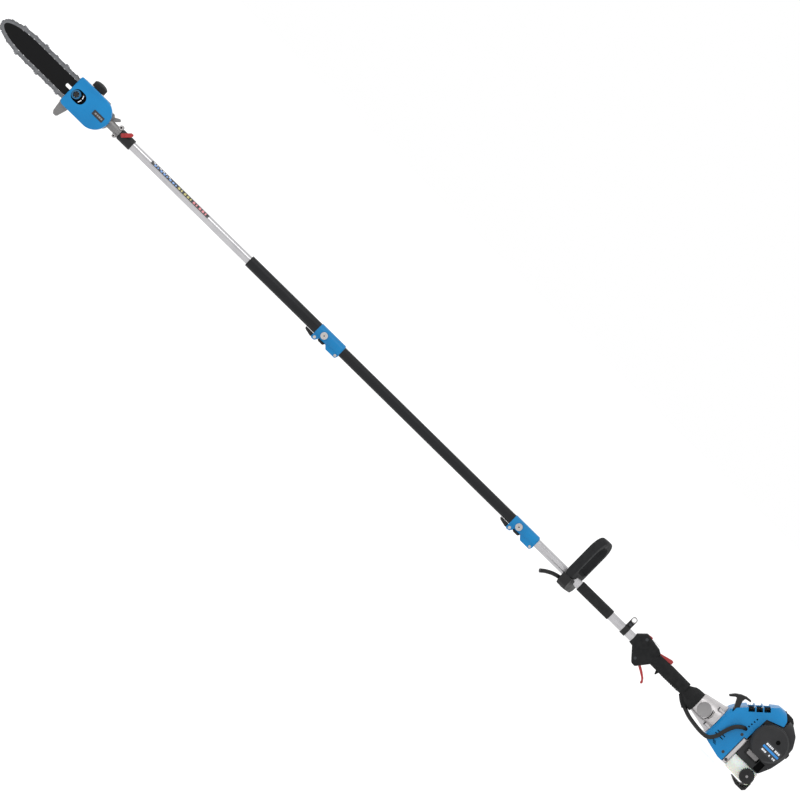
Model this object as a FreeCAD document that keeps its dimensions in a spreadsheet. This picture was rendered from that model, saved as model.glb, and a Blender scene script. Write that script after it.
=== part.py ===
import FreeCAD, Part
import math
import os
import re
import Sketcher
from FreeCAD import Placement, Rotation, Vector

# Telescoping engine-driven pole saw, lying level on its engine foot and bark spike.
# +X runs along the pole to the engine, the saw head is at -X, +Z is up and -Y is the
# machine's left side. Every sub-part is drawn about the pole axis and then lifted by
# pole_height, so z = 0 in the drawings is the pole axis. Sizes are millimetres.

DIMENSIONS = {
    "pole_height": (90, "pole axis above the ground"),
    "tube_od": (26, "lower and upper pole tubes, outside"),
    "tube_id": (23, "lower and upper pole tubes, inside"),
    "middle_od": (31, "middle telescoping tube, outside"),
    "middle_id": (26.6, "middle telescoping tube, inside"),
    "sleeve_od": (35, "front sleeve tube, outside"),
    "sleeve_id": (31.6, "front sleeve tube, inside"),
    "lower_front": (-35, "front end of the lower tube"),
    "lower_rear": (1226, "rear end of the lower tube"),
    "middle_front": (-300, "front end of the middle tube"),
    "middle_rear": (529, "rear end of the middle tube"),
    "sleeve_front": (-545, "front end of the sleeve tube"),
    "sleeve_rear": (-234, "rear end of the sleeve tube"),
    "upper_front": (-1028, "front end of the upper tube"),
    "upper_rear": (-485, "rear end of the upper tube"),
    "clamp_length": (94, "length of a telescope clamp"),
    "clamp_grip": (40, "length of the clamp seat on its own tube"),
    "shaft_od": (12, "drive shaft, outside"),
    "shaft_bore": (8.8, "square bore of the drive shaft sections"),
    "shaft_square": (8, "square telescoping shaft"),
    "bush_bore": (12.1, "running bore of bushes and bearings"),
    "bar_plane": (-24.5, "middle plane of guide bar and chain"),
    "bar_centre": (-4.5, "bar centreline from the pole axis"),
    "bar_half": (26.5, "half height of the guide bar"),
    "bar_nose": (105, "length of the elliptical bar nose"),
    "bar_straight": (-1390, "where the bar nose begins"),
    "bar_rear": (-1178, "rear end of the guide bar"),
    "bar_thick": (4.6, "guide bar thickness"),
    "groove_depth": (6.5, "guide bar groove depth"),
    "gauge": (1.3, "drive link thickness"),
    "chain_pitch": (9.525, "chain pitch, 3/8 inch"),
    "chain_rise": (5, "chain pitch line above the bar rails"),
    "sprocket_x": (-1145, "chain sprocket axis"),
    "sprocket_pitch": (18.2, "sprocket pitch radius, 6 teeth"),
    "cover_face": (-42, "outer face of the side cover"),
    "case_face": (-20, "bar side of the gear case"),
    "case_back": (-12, "inner side of the gear case plate"),
    "head_top": (43, "top of the saw head"),
    "head_bottom": (-53.5, "bottom of the saw head"),
    "head_front": (-1235, "front of the side cover"),
    "head_rear": (-1093, "rear of the side cover"),
    "stud_x": (-1213, "bar stud"),
    "shroud_half": (66, "half width of the fan shroud"),
    "rear_half": (62, "half width of the rear cover"),
    "engine_side": (95, "furthest side faces of the engine"),
    "crank_x": (1396, "cylinder axis along the pole"),
    "journal": (15, "crankshaft journal diameter"),
    "web_radius": (21, "crank web radius"),
    "filter_x": (1434, "centre of the round filter cover"),
    "filter_z": (59, "height of the filter cover centre"),
    "filter_radius": (54, "radius of the filter cover"),
    "cap_x": (1453, "fuel cap axis"),
    "cap_z": (-51, "fuel cap axis"),
    "cap_radius": (22, "radius of the fuel cap and of the oil cap"),
    "loop_x": (722, "loop handle centre"),
    "loop_yaw": (-17, "turn of the loop handle about the vertical"),
    "grip_od": (42, "rear grip diameter"),
    "foot_width": (116, "width of the engine foot"),
    "harness_x": (930.3, "harness eye"),
    "harness_z": (37, "harness eye height above the pole axis"),
    "harness_hole": (12.6, "harness eye diameter"),
    "screw": (5, "thread diameter of the case screws"),
    "knob_end": (1504.3, "rear end of the cover knob"),
}

doc = FreeCAD.newDocument("PoleSaw")
sheet = doc.addObject("Spreadsheet::Sheet", "Dims")
for row, (alias, (value, meaning)) in enumerate(DIMENSIONS.items(), 1):
    sheet.set("A%d" % row, alias)
    sheet.set("B%d" % row, str(value))
    sheet.set("C%d" % row, meaning)
    sheet.setAlias("B%d" % row, alias)
doc.recompute()
nodes = {}
spots = {}


# ---------------------------------------------------------------- helpers

def formula(size):
    """Write a size, a number or a formula of sheet names, as a FreeCAD expression."""
    def linked(match):
        word = match.group(0)
        return "Dims." + word if word in DIMENSIONS else word
    return re.sub(r"[a-z_]+", linked, str(size))


def num(size):
    """Present value of a size."""
    return float(sheet.evalExpression(formula(size)))


def bind(obj, name, size):
    obj.setExpression(name, formula(size))


def place(obj, at, rotation=None):
    """Place an object at a point whose coordinates may be formulas."""
    if rotation is not None:
        obj.Placement = Placement(Vector(0, 0, 0), rotation)
    spots[obj.Name] = at
    for axis, size in zip("xyz", at):
        bind(obj, "Placement.Base." + axis, size)
    return obj


def new(kind, name="Piece"):
    return doc.addObject(kind, name)


TURN = {
    "X": Rotation(Vector(0, 1, 0), 90),
    "Y": Rotation(Vector(1, 0, 0), -90),
    "Z": Rotation(),
}


def rod(radius, length, axis, start):
    """Cylinder that starts at a point and runs along +axis."""
    piece = new("Part::Cylinder", "Rod")
    bind(piece, "Radius", radius)
    bind(piece, "Height", length)
    return place(piece, start, TURN[axis])


def block(low, high):
    """Box between two corners."""
    piece = new("Part::Box", "Block")
    for name, a, b in zip(("Length", "Width", "Height"), low, high):
        bind(piece, name, "(%s) - (%s)" % (b, a))
    return place(piece, low)


def less(base, *tools):
    piece = new("Part::Cut", "Cut")
    piece.Base = base
    piece.Tool = tools[0] if len(tools) == 1 else join(*tools)
    return piece


def join(*pieces):
    if len(pieces) == 1:
        return pieces[0]
    piece = new("Part::MultiFuse", "Fuse")
    piece.Shapes = list(pieces)
    return piece


def shared(*pieces):
    piece = new("Part::MultiCommon", "Common")
    piece.Shapes = list(pieces)
    return piece


def group(*pieces):
    """Separate solids kept together as one sub-part."""
    piece = new("Part::Compound", "Group")
    piece.Links = list(pieces)
    return piece


def outline(body, role, points, offset=0):
    """Closed polygon sketch on an origin plane of its body, fully held by distances."""
    sketch = body.newObject("Sketcher::SketchObject", "Outline")
    plane = [feature for feature in body.Origin.OriginFeatures if feature.Role == role][0]
    sketch.AttachmentSupport = [(plane, "")]
    sketch.MapMode = "FlatFace"
    bind(sketch, "AttachmentOffset.Base.z", offset)
    ends = [Vector(num(a), num(b), 0) for a, b in points]
    count = len(points)
    for index in range(count):
        sketch.addGeometry(Part.LineSegment(ends[index], ends[(index + 1) % count]), False)
    for index in range(count):
        sketch.addConstraint(Sketcher.Constraint("Coincident", index, 2, (index + 1) % count, 1))
    for index, spot in enumerate(ends):
        for kind, size, value, axis in (("DistanceX", points[index][0], spot.x, -2),
                                        ("DistanceY", points[index][1], spot.y, -1)):
            if abs(value) < 1e-9:
                sketch.addConstraint(Sketcher.Constraint("PointOnObject", index, 1, axis))
                continue
            held = sketch.addConstraint(Sketcher.Constraint(kind, -1, 1, index, 1, value))
            if isinstance(size, str):
                bind(sketch, "Constraints[%d]" % held, size)
    return sketch


def soften(body, edges, radius):
    """Round the edges of the body's last feature that a test picks."""
    doc.recompute()
    base = body.Tip
    names = ["Edge%d" % i for i, edge in enumerate(base.Shape.Edges, 1) if edges(edge)]
    fillet = body.newObject("PartDesign::Fillet", "Fillet")
    fillet.Base = (base, names)
    bind(fillet, "Radius", radius)
    body.Tip = fillet
    return body


PLANES = {"XZ": ("XZ_Plane", -1, "xz"), "XY": ("XY_Plane", 1, "xy"), "YZ": ("YZ_Plane", 1, "yz")}


def slab(plane, points, middle, width, corners=(), rims=()):
    """Outline padded evenly about its middle plane, with rounded corners and rims.

    corners holds (radius, indices of points); rims holds (radius, side) with side -1 or 1
    for the lower or upper face across the pad."""
    role, sign, axes = PLANES[plane]
    body = new("PartDesign::Body", "Body")
    sketch = outline(body, role, points, "(%s) * (%d)" % (middle, sign))
    pad = body.newObject("PartDesign::Pad", "Pad")
    pad.Profile = sketch
    pad.SideType = "Symmetric"
    bind(pad, "Length", width)
    across = ({"x", "y", "z"} - set(axes)).pop()
    for radius, indices in corners:
        picked = [(num(points[i][0]), num(points[i][1])) for i in indices]

        def at_corner(edge):
            ends = [vertex.Point for vertex in edge.Vertexes]
            if len(ends) != 2:
                return False
            a, b = [[getattr(end, axis) for axis in axes] for end in ends]
            return math.dist(a, b) < 1e-3 and any(math.dist(a, spot) < 1e-3 for spot in picked)
        soften(body, at_corner, radius)
    for radius, side in rims:
        level = num(middle) + side * num(width) / 2

        def on_rim(edge):
            box = edge.BoundBox
            low, high = getattr(box, across.upper() + "Min"), getattr(box, across.upper() + "Max")
            return abs(low - level) < 1e-3 and abs(high - level) < 1e-3
        soften(body, on_rim, radius)
    return body


def lathe(axis, points, at=(0, 0, 0)):
    """Outline of (along, radius) points turned about an axis through a point."""
    body = new("PartDesign::Body", "Body")
    if axis == "X":
        sketch = outline(body, "XZ_Plane", points)
        line = "H_Axis"
    else:
        role = "XZ_Plane" if axis == "Z" else "XY_Plane"
        sketch = outline(body, role, [(radius, along) for along, radius in points])
        line = "V_Axis"
    turned = body.newObject("PartDesign::Revolution", "Revolution")
    turned.Profile = sketch
    turned.ReferenceAxis = (sketch, [line])
    turned.Angle = 360
    return place(body, at)


def ring(axis, inner, outer, start, length, at=(0, 0, 0)):
    """Plain tube about an axis, from start over a length."""
    end = "(%s) + (%s)" % (start, length)
    return lathe(axis, [(start, inner), (end, inner), (end, outer), (start, outer)], at)


def screw(axis, at, length, way=1, head=4.5, rise=3):
    """Cap screw along an axis: the head's inner face is at the point, the shank runs way."""
    cap = [(0, head), (-rise * way, head), (-rise * way, 0)]
    return lathe(axis, [(length * way, 0), (length * way, "screw / 2"), (0, "screw / 2")]
                 + cap, at)


def tube_path(points):
    """Straight runs joined by tangent arcs, and the radii of the arcs."""
    turns = [Vector(*point) for point in points]
    edges, radii, start = [], [], turns[0]
    for before, here, after in zip(turns, turns[1:], turns[2:]):
        back, ahead = before - here, after - here
        reach = 0.45 * min(back.Length, ahead.Length)
        back.normalize()
        ahead.normalize()
        half_turn = (math.pi - back.getAngle(ahead)) / 2
        first, last = here + back * reach, here + ahead * reach
        radius = reach / math.tan(half_turn)
        centre_way = (back + ahead).normalize()
        middle = here + centre_way * (radius / math.cos(half_turn) - radius)
        edges += [Part.LineSegment(start, first).toShape(), Part.Arc(first, middle, last).toShape()]
        radii.append(radius)
        start = last
    edges.append(Part.LineSegment(start, turns[-1]).toShape())
    return Part.Wire(edges), radii


def bent_tube(points, radius):
    """Round tube along a route of points."""
    path, radii = tube_path(points)
    along = Vector(*points[1]) - Vector(*points[0])
    circle = Part.Wire(Part.makeCircle(radius, Vector(*points[0]), along))
    piece = new("Part::Feature", "Tube")
    piece.Shape = Part.Wire(path).makePipeShell([circle], True, False)
    section = math.pi * radius ** 2
    print("tube length %.1f, volume ratio %.4f, radii %s" % (
        path.Length, piece.Shape.Volume / section / path.Length, [round(r) for r in radii]))
    return piece


def node(name, piece):
    """Name a sub-part and lift it to the height of the pole."""
    doc.recompute()
    piece.Label = name
    x, y, z = spots.get(piece.Name, (0, 0, 0))
    place(piece, (x, y, "pole_height + (%s)" % z))
    nodes[name] = piece
    return piece


# ---------------------------------------------------------------- case screws
# Identical M5 screws: loop handle, harness clamp, handle shells, clutch housing and engine.

loop_screws = [screw("Z", (x, y, -36), 45) for x, y in ((728, 18.5), (716, -18.5))]
harness_screws = [screw("Y", ("harness_x", -5, 21), 10)]
shell_screws = [screw("Y", (992, -17, 24), 32), screw("Y", (1004, -17, -36), 32),
                screw("Y", (1150, -9.5, -16), 19)]
housing_screws = [screw("X", (1270, y, z), 26) for y in (-36, 36) for z in (-29, 29)]
engine_screws = [screw("Y", (x, -63, z), 8) for x, z in ((1362, 23), (1358, -48), (1379, -58))]

# ---------------------------------------------------------------- pole, lower stage

lower_tube = ring("X", "tube_id / 2", "tube_od / 2", "lower_front", "lower_rear - lower_front")
node("lower_tube", lower_tube)

node("shaft_bushes", group(*[ring("X", "bush_bore / 2", "tube_id / 2", x, 20)
                             for x in (-20, 300, 620, 920, 1190)]))

yaw = Rotation(Vector(0, 0, 1), num("loop_yaw"))


def yawed(piece):
    """Turn a piece drawn about the vertical through the loop handle."""
    piece.Placement = Placement(Vector(num("loop_x"), 0, 0), yaw)
    bind(piece, "Placement.Base.x", "loop_x")
    return piece


lower_bore = rod("tube_od / 2", 200, "X", (640, 0, 0))
loop = slab("YZ", [(-56, -1), (56, -1), (66, 14), (66, 144), (-66, 144), (-66, 14)], 0, 26,
            corners=[(44, (3, 4)), (12, (2, 5)), (4, (0, 1))], rims=[(7, -1), (7, 1)])
window = slab("YZ", [(-46, 28), (-30, 20), (30, 20), (46, 28), (46, 124), (-46, 124)], 0, 40,
              corners=[(32, (4, 5))])
node("loop_handle", less(yawed(loop), yawed(window), lower_bore, *loop_screws))

bracket = slab("YZ", [(-56, -1), (-50, -28), (-38, -38), (38, -38), (50, -28), (56, -1)], 0, 32,
               corners=[(6, (1, 2, 3, 4))], rims=[(3, -1), (3, 1)])
barrier = bent_tube([(712, -20, -20), (694, -30, -22), (672, -42, -27), (652, -54, -37),
                     (640, -62, -46)], 6)
node("loop_bracket", less(join(yawed(bracket), barrier), lower_bore, *loop_screws))

node("foam_grip", lathe("X", [(753, "tube_od / 2"), (873, "tube_od / 2"), (873, 14.6),
                              (871, "middle_od / 2"), (755, "middle_od / 2"), (753, 14.6)]))

clamp_ring = ring("X", "tube_od / 2", 15.6, 922, 16.6)
ears = slab("XZ", [(922, 10), (938.6, 10), (938.6, 46), (922, 46)], 0, 10,
            corners=[(8.2, (2, 3))])
eye = rod("harness_hole / 2", 30, "Y", ("harness_x", -15, "harness_z"))
split = block((915, -1, 0), (945, 1, 60))
tube_core = rod("tube_od / 2", 60, "X", (900, 0, 0))
node("harness_clamp", less(join(clamp_ring, ears), tube_core, eye, split, *harness_screws))

# ---------------------------------------------------------------- rear handle

housing = slab("XZ", [(962, -15.5), (974, -17), (1006, -53), (1019, -54), (1046, -20),
                      (1048, 22), (1038, 28), (984, 37), (962, 16)], 0, 40,
               corners=[(7, (2, 3)), (4, (6, 7)), (6, (4,))], rims=[(6, -1), (6, 1)])
grip = lathe("X", [(1034, 0), (1034, 17), (1040, "grip_od / 2 - 1"), (1100, "grip_od / 2"),
                   (1160, "grip_od / 2 - 1"), (1168, 20), (1168, 0)])
bell = lathe("X", [(1160, 0), (1160, 15), (1168, 18), (1176, 22), (1186, 28.5), (1196, 31),
                   (1216, 32), (1216, 0)], (0, 0, -3.5))
hump = bent_tube([(1168, -3, -16), (1182, -5, -28), (1200, -7, -38)], 8.5)
fin = slab("XZ", [(1070, -18), (1082, -18), (1077.5, -31), (1075.5, -31)], 0, 10,
           corners=[(0.8, (2, 3))])
handle_core = join(
    rod("tube_od / 2", 400, "X", (940, 0, 0)),
    rod(27, 40, "X", (1190, 0, -3.5)),
    slab("XZ", [(1004, -44), (1004, -24), (1030, -20), (1056, -20), (1056, -40), (1040, -58),
                (1022, -62)], 0, 12),
    slab("XZ", [(1043, 13), (1043, 34), (1094, 34), (1094, 13)], 0, 11.4),
    block((984, -5.6, 30.6), (1011, 5.6, 44)),
    slab("XZ", [(974, 17), (974, 24), (984, 30), (1036, 23), (1036, 17)], 0, 20))
conduit_route = [(1182, -5, -26), (1198, -7, -37), (1224, -15, -47), (1250, -36, -51),
                 (1274, -60, -52.5), (1300, -73.5, -50), (1315, -74, -28), (1321, -74, 1),
                 (1332, -74, 26), (1349, -72, 40), (1366, -56, 42)]
conduit = bent_tube(conduit_route, 6)
trigger_pin = rod(2, 26, "Y", (1016, -13, -34))
lockout_pin = rod(1.5, 26, "Y", (1052, -13, 18))
handle = less(join(housing, grip, bell, hump, fin), handle_core, conduit, trigger_pin,
              lockout_pin, *shell_screws)
for name, low, high in (("handle_shell_left", -60, 0), ("handle_shell_right", 0, 60)):
    node(name, shared(handle, block((940, low, -80), (1240, high, 80))))
node("machine_screws", group(trigger_pin, lockout_pin, *(
    loop_screws + harness_screws + shell_screws + housing_screws + engine_screws)))
node("cable_conduit", group(conduit))

trigger = slab("XZ", [(1010, -31), (1013, -28), (1020, -29), (1030, -39), (1048, -50),
                      (1062, -61), (1069, -71), (1068, -77), (1063, -77), (1061, -69),
                      (1056, -64), (1042, -55), (1026, -46), (1012, -39)], 0, 11,
               corners=[(3, (0, 1, 2, 6, 10)), (2.4, (7, 8))], rims=[(1.5, -1), (1.5, 1)])
node("throttle_trigger", less(trigger, rod(2.05, 26, "Y", (1016, -13, -34))))
lockout = slab("XZ", [(1047, 16), (1047, 22), (1084, 31.6), (1090.5, 30.5), (1091, 21),
                      (1058, 15)], 0, 10.4, corners=[(2, (0, 1, 2, 3))],
               rims=[(1.2, -1), (1.2, 1)])
node("lockout_lever", less(lockout, rod(1.55, 26, "Y", (1052, -13, 18))))
node("kill_switch", slab("XZ", [(988, 31), (1003, 31), (1003, 37), (999, 38.6), (988, 37)],
                         0, 10, corners=[(1.5, (2, 3, 4))]))

# ---------------------------------------------------------------- clutch and crank line

cone = lathe("X", [(1196, 0), (1196, 22), (1216.4, 23), (1216.4, 31), (1284, 45.5), (1284, 48),
                   (1288.2, 48), (1288.2, 0)])
bosses = [rod(6, 18, "X", (1270, y, z)) for y in (-36, 36) for z in (-29, 29)]
pads = [rod(21, 8, "Y", (1241, y, -2)) for y in (-38, 30)]
cone_inside = lathe("X", [(1190, 0), (1190, "tube_od / 2"), ("lower_rear", "tube_od / 2"),
                          ("lower_rear", 14), (1240, 14), (1240, 27), (1246, 30), (1250, 37.6),
                          (1295, 40), (1295, 0)])
vent_slots = [slab("XZ", [(1264, -17), (1266.5, -17), (1271, -3), (1271, 1), (1266.5, 14),
                          (1264, 14), (1268, 0)], y, 14) for y in (-43, 43)]
node("clutch_housing", less(join(cone, *(bosses + pads)), cone_inside, *(vent_slots
                                                                         + housing_screws)))

bearings = [ring("X", bore, outer, x, 8) for bore, outer, x in (
    ("bush_bore / 2", 14, 1230), ("journal / 2 + 0.05", 16, 1370),
    ("journal / 2 + 0.05", 16, 1412.5))]
node("shaft_bearings", group(*bearings))

drum = lathe("X", [(1243, "shaft_od / 2"), (1243, 10), (1252, 10), (1252, 34), (1254, 36),
                   (1280, 36), (1280, 34), (1256, 34), (1256, 8.6), (1254, "shaft_od / 2")])
node("clutch_drum", drum)
lower_shaft = rod("shaft_od / 2", "1254 - lower_front", "X", ("lower_front", 0, 0))
square = "shaft_bore / 2"
shaft_slot = block(("lower_front - 5", "-(%s)" % square, "-(%s)" % square), (620, square, square))
node("drive_shaft_lower", less(lower_shaft, shaft_slot))

shoes = [less(ring("X", 17, 33, 1261, 15), block((1255, -2, -40), (1280, 2, 40)),
              block((1255, -40, -2), (1280, 40, 2))),
         ring("X", "journal / 2", 16, 1259, 19)]
node("clutch_shoes", group(*shoes))

crank = join(
    rod("journal / 2", "crank_x - 12 - 1259", "X", (1259, 0, 0)),
    rod("web_radius", 7, "X", ("crank_x - 12", 0, 0)),
    rod(5.5, 12, "X", ("crank_x - 6", 0, 12)),
    rod("web_radius", 7, "X", ("crank_x + 5", 0, 0)),
    rod("journal / 2", 12, "X", ("crank_x + 12", 0, 0)))
node("crankshaft", crank)

disc = lathe("X", [(1310, "journal / 2"), (1310, 13), (1323, 13), (1323, 54), (1335, 54),
                   (1335, 49), (1329, 49), (1329, 13), (1336, 13), (1336, "journal / 2")])
blades = []
for index in range(16):
    blade = block((1311, 24, -1), (1324, 53, 1))
    blade.Placement.Rotation = Rotation(Vector(1, 0, 0), index * 22.5)
    turn = math.radians(index * 22.5)
    place(blade, (1311, 24 * math.cos(turn) + math.sin(turn), 24 * math.sin(turn) - math.cos(turn)))
    blades.append(blade)
node("flywheel", join(disc, *blades))

reel = lathe("X", [(1296, 18.06), (1296, 40), (1298, 40), (1299, 34), (1303, 34), (1304, 40),
                   (1306, 40), (1306, 18.06)])
node("recoil_reel", reel)

# ---------------------------------------------------------------- engine block

block_body = slab("XZ", [(1340, -26), (1422, -26), (1422, 23), (1340, 23)], 0, 84,
                  corners=[(6, (0, 1, 2, 3))])
flange = slab("XZ", [(1371.5, -69), (1386, -69), (1386, 22), (1371.5, 22)], 0, 128,
              rims=[(5, -1), (5, 1)])
crank_space = [rod("web_radius + 0.6", 26, "X", ("crank_x - 13", 0, 0)),
               rod(15, 20, "Z", ("crank_x", 0, 12)), rod(9, 100, "X", (1338, 0, 0)),
               rod(16, 9, "X", (1369.5, 0, 0)), rod(16, 9, "X", (1412, 0, 0))]
node("crankcase", less(join(block_body, flange), *(crank_space + engine_screws)))

fins = [(23, 15), (23, 26), (28, 26), (28, 21)]
for level in range(6):
    start = 40 + 11 * level
    reach = 29 - 1.2 * max(0, level - 3)
    fins += [(start, 20), (start, reach), (start + 3, reach), (start + 3, 20)]
fins += [(106, 20), (112, 14), (118, 12), (118, 0), (104, 0), (98, 15)]
plug_seat = ("crank_x", 0, 98)
plug_tilt = Rotation(Vector(0, 1, 0), 20)
plug = place(lathe("Z", [(0, 0), (0, 4.4), (21, 4.4), (21, 7), (28, 7), (28, 4), (40, 3),
                         (40, 0)]), plug_seat, plug_tilt)
node("cylinder", less(lathe("Z", fins, ("crank_x", 0, 0)), plug))

piston = lathe("Z", [(58, 0), (58, 14.9), (84, 14.9), (84, 0)], ("crank_x", 0, 0))
piston_hollow = rod(12, 20, "Z", ("crank_x", 0, 57))
gudgeon = rod(4, 29, "Y", ("crank_x", -14.5, 68))
rod_eyes = slab("XZ", [("crank_x - 3", 31), ("crank_x + 3", 31), ("crank_x + 3", 74),
                       ("crank_x - 3", 74)], 0, 9, corners=[(2, (0, 1, 2, 3))])
node("piston_set", group(less(piston, piston_hollow, gudgeon), gudgeon, less(rod_eyes, gudgeon)))

boot = place(lathe("Z", [(29, 0), (29, 8.5), (50, 8.5), (58, 5), (58, 0)]), plug_seat, plug_tilt)
lead = bent_tube([(1412, 0, 146), (1424, 0, 149.5), (1436, 0, 147), (1446, 0, 142.5),
                  (1453, 0, 134)], 4)
node("spark_plug", group(plug, less(join(boot, lead), plug)))

# ---------------------------------------------------------------- engine covers


def cowl(side, front, top, inner_side, inner_front, inner_top):
    """Shell whose outside and inside are each the overlap of three outlines."""
    shapes = []
    for (side_points, side_corners), (front_points, front_corners), (top_points, top_corners) in (
            (side, front, top), (inner_side, inner_front, inner_top)):
        shapes.append(shared(slab("XZ", side_points, 0, 240, side_corners),
                             slab("YZ", front_points, 1390, 400, front_corners),
                             slab("XY", top_points, 40, 300, top_corners)))
    return less(*shapes)


def arch(half, low, high):
    """Front outline of a cowl: flat sides under a rounded roof."""
    return [("-(%s)" % half, low), (half, low), (half, high), ("-(%s)" % half, high)]


def plan(front, rear, half):
    """Top outline of a cowl."""
    return [(front, "-(%s)" % half), (rear, "-(%s)" % half), (rear, half), (front, half)]


muffler_space = block((1357, 24, 33), (1433, 110, 105))
boot_space = place(rod(10.5, 80, "Z", (0, 0, 0)), plug_seat, plug_tilt)
lead_space = block((1410, -4.6, 128), (1459, 4.6, 165))
reel_hub = ring("X", 12, 18, 1291, 17)
shroud = cowl(
    ([(1289, -46), (1289, 50), (1299, 65), (1323, 92), (1371, 134), (1389, 150), (1413, 152),
      (1428, 136), (1431, 119), (1382, 101), (1379, 23), (1371, 23), (1371, -69), (1356, -69),
      (1302, -56)], [(6, (1, 14)), (12, (5, 6)), (30, (3, 4)), (9, (7,))]),
    (arch("shroud_half", -80, 153), [(52, (2, 3))]),
    (plan(1288, 1450, "shroud_half"), [(30, (0, 3))]),
    ([(1292.5, -43), (1292.5, 48.5), (1301.5, 63), (1325.2, 89.8), (1373, 131), (1390.2, 146.8),
      (1411.5, 148.7), (1424.5, 135), (1440, 110), (1440, -66), (1356.4, -65.9), (1303, -53)],
     [(4, (1, 11)), (9, (5, 6))]),
    (arch("shroud_half - 3", -77, 150), [(49, (2, 3))]),
    (plan(1291, 1450, "shroud_half - 3"), [(27, (0, 3))]))
slope = Rotation(Vector(0, 1, 0), -41.2)
louvres = []
for index in range(3):
    along = 22 * index
    for side in (-74, 2):
        corner = (1330 + along * 0.7524, side, 81 + along * 0.6587)
        louvres.append(place(block((0, 0, 0), (18.5, 72, 13)), corner, slope))
windows = [block((1358 + i, -80, 50.5 + 10 * i), (1363 + i, 80, 54.5 + 10 * i)) for i in range(4)]
slots = [block((x, -80, z), (x + 12, -50, z + 3)) for x in (1305, 1322) for z in (-17, -26)]
slots += [block((1312 + 3 * i, -80, -43 - 3.2 * i), (1324 + 3 * i, -50, -41 - 3.2 * i))
          for i in range(3)]
shroud_bore = rod(41, 10, "X", (1286, 0, 0))
filter_space = rod("filter_radius + 1", 60, "Y", ("filter_x", -120, "filter_z"))
pull_way = Rotation(Vector(0, 1, 0), -22.6)
rope_hole = place(rod(2.6, 60, "Z", (0, 0, 0)), (1316, -48, 30), pull_way)
starter_seat = place(block((0, 0, 0), (16.4, 23.2, 45)), (1297.3, -59.6, 50.2), pull_way)
vents = [rod(9, 10, "X", (1286, 29 * math.cos(turn), 29 * math.sin(turn)))
         for turn in [math.radians(30 + 60 * k) for k in range(6)]]
hub_web = less(rod(43, 3, "X", (1288.5, 0, 0)), rod(12, 10, "X", (1286, 0, 0)), *vents)
node("fan_shroud", less(join(less(shroud, shroud_bore), reel_hub, hub_web), muffler_space,
                        boot_space, filter_space, rope_hole, starter_seat, conduit,
                        *(louvres + windows + slots + housing_screws + engine_screws)))

rear = cowl(
    ([(1387, -26), (1387, 22.5), (1384.5, 25), (1386, 99), (1433, 117.5), (1438, 141),
      (1452, 139), (1475, 122), (1493, 92), (1497, 53), (1487, 11), (1470, -26)],
     [(14, (6, 7, 8)), (20, (9,)), (8, (10, 11))]),
    (arch("rear_half", -40, 142), [(46, (2, 3))]),
    (plan(1380, 1498, "rear_half"), [(24, (1, 2))]),
    ([(1380, -23), (1380, 120), (1434.5, 120), (1440.5, 138), (1451, 136), (1473, 120),
      (1490.4, 91), (1494.4, 53.3), (1484.7, 12), (1468.3, -23)],
     [(12, (4, 5, 6)), (18, (7,)), (7, (8, 9))]),
    (arch("rear_half - 2.6", -37, 139.4), [(43.4, (2, 3))]),
    (plan(1370, 1495.4, "rear_half - 2.6"), [(21.4, (1, 2))]))
recess = slab("XZ", [(1400, -9), (1448, -9), (1448, 12), (1400, 12)], -60, 4.4,
              corners=[(3, (0, 1, 2, 3))])
recess_floor = block((1396, -59, -13), (1450, -56, 16))
opening = block((1449, -80, -24), (1469, -40, 6))
choke_pin_hole = rod(2.05, 20, "Y", (1404, -66, 1))
knob_hole = rod(3, 20, "X", (1488, 0, 64))
shroud_space = slab("XZ", [(1380, 101.5), (1432, 120), (1428.6, 137), (1415, 160), (1360, 160)],
                    0, 260)
case_space = block((1380, -42.4, -30), (1422.4, 42.4, 23.4))
node("rear_cover", less(join(less(rear, opening), recess_floor), recess, muffler_space,
                        lead_space, choke_pin_hole, knob_hole, shroud_space, case_space))

dish = lathe("Y", [(-62.4, 0), ("-engine_side", 0), ("-engine_side", 43), (-92.5, 49),
                   (-86, "filter_radius"), (-62.4, "filter_radius")],
             ("filter_x", 0, "filter_z"))
dish_inside = lathe("Y", [(-60, 0), (-92.4, 0), (-92.4, 41.5), (-90.4, 46.5), (-85, 51.4),
                          (-60, 51.4)], ("filter_x", 0, "filter_z"))
cover_hole = rod(6.5, 10, "Y", (1447, -100, 78))
above = block((1360, -100, 9), (1500, -60, 130))
above_inside = block((1360, -100, 11.6), (1500, -55, 130))
node("filter_cover", less(shared(dish, above), shared(dish_inside, above_inside), cover_hole))
node("air_filter", less(rod(47, 22, "Y", ("filter_x", -85, "filter_z")),
                        rod(14, 30, "Y", ("filter_x", -90, "filter_z"))))

carburettor = join(slab("XZ", [(1430, 30), (1466, 30), (1466, 62), (1430, 62)], -38, 40,
                        corners=[(4, (0, 1, 2, 3))]),
                   rod(11, 8, "X", (1424.4, -28, 46)),
                   rod(12, 6, "Y", (1448, -59, 46)))
node("carburettor", less(carburettor, rod(7, 60, "Y", (1448, -70, 46))))

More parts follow.
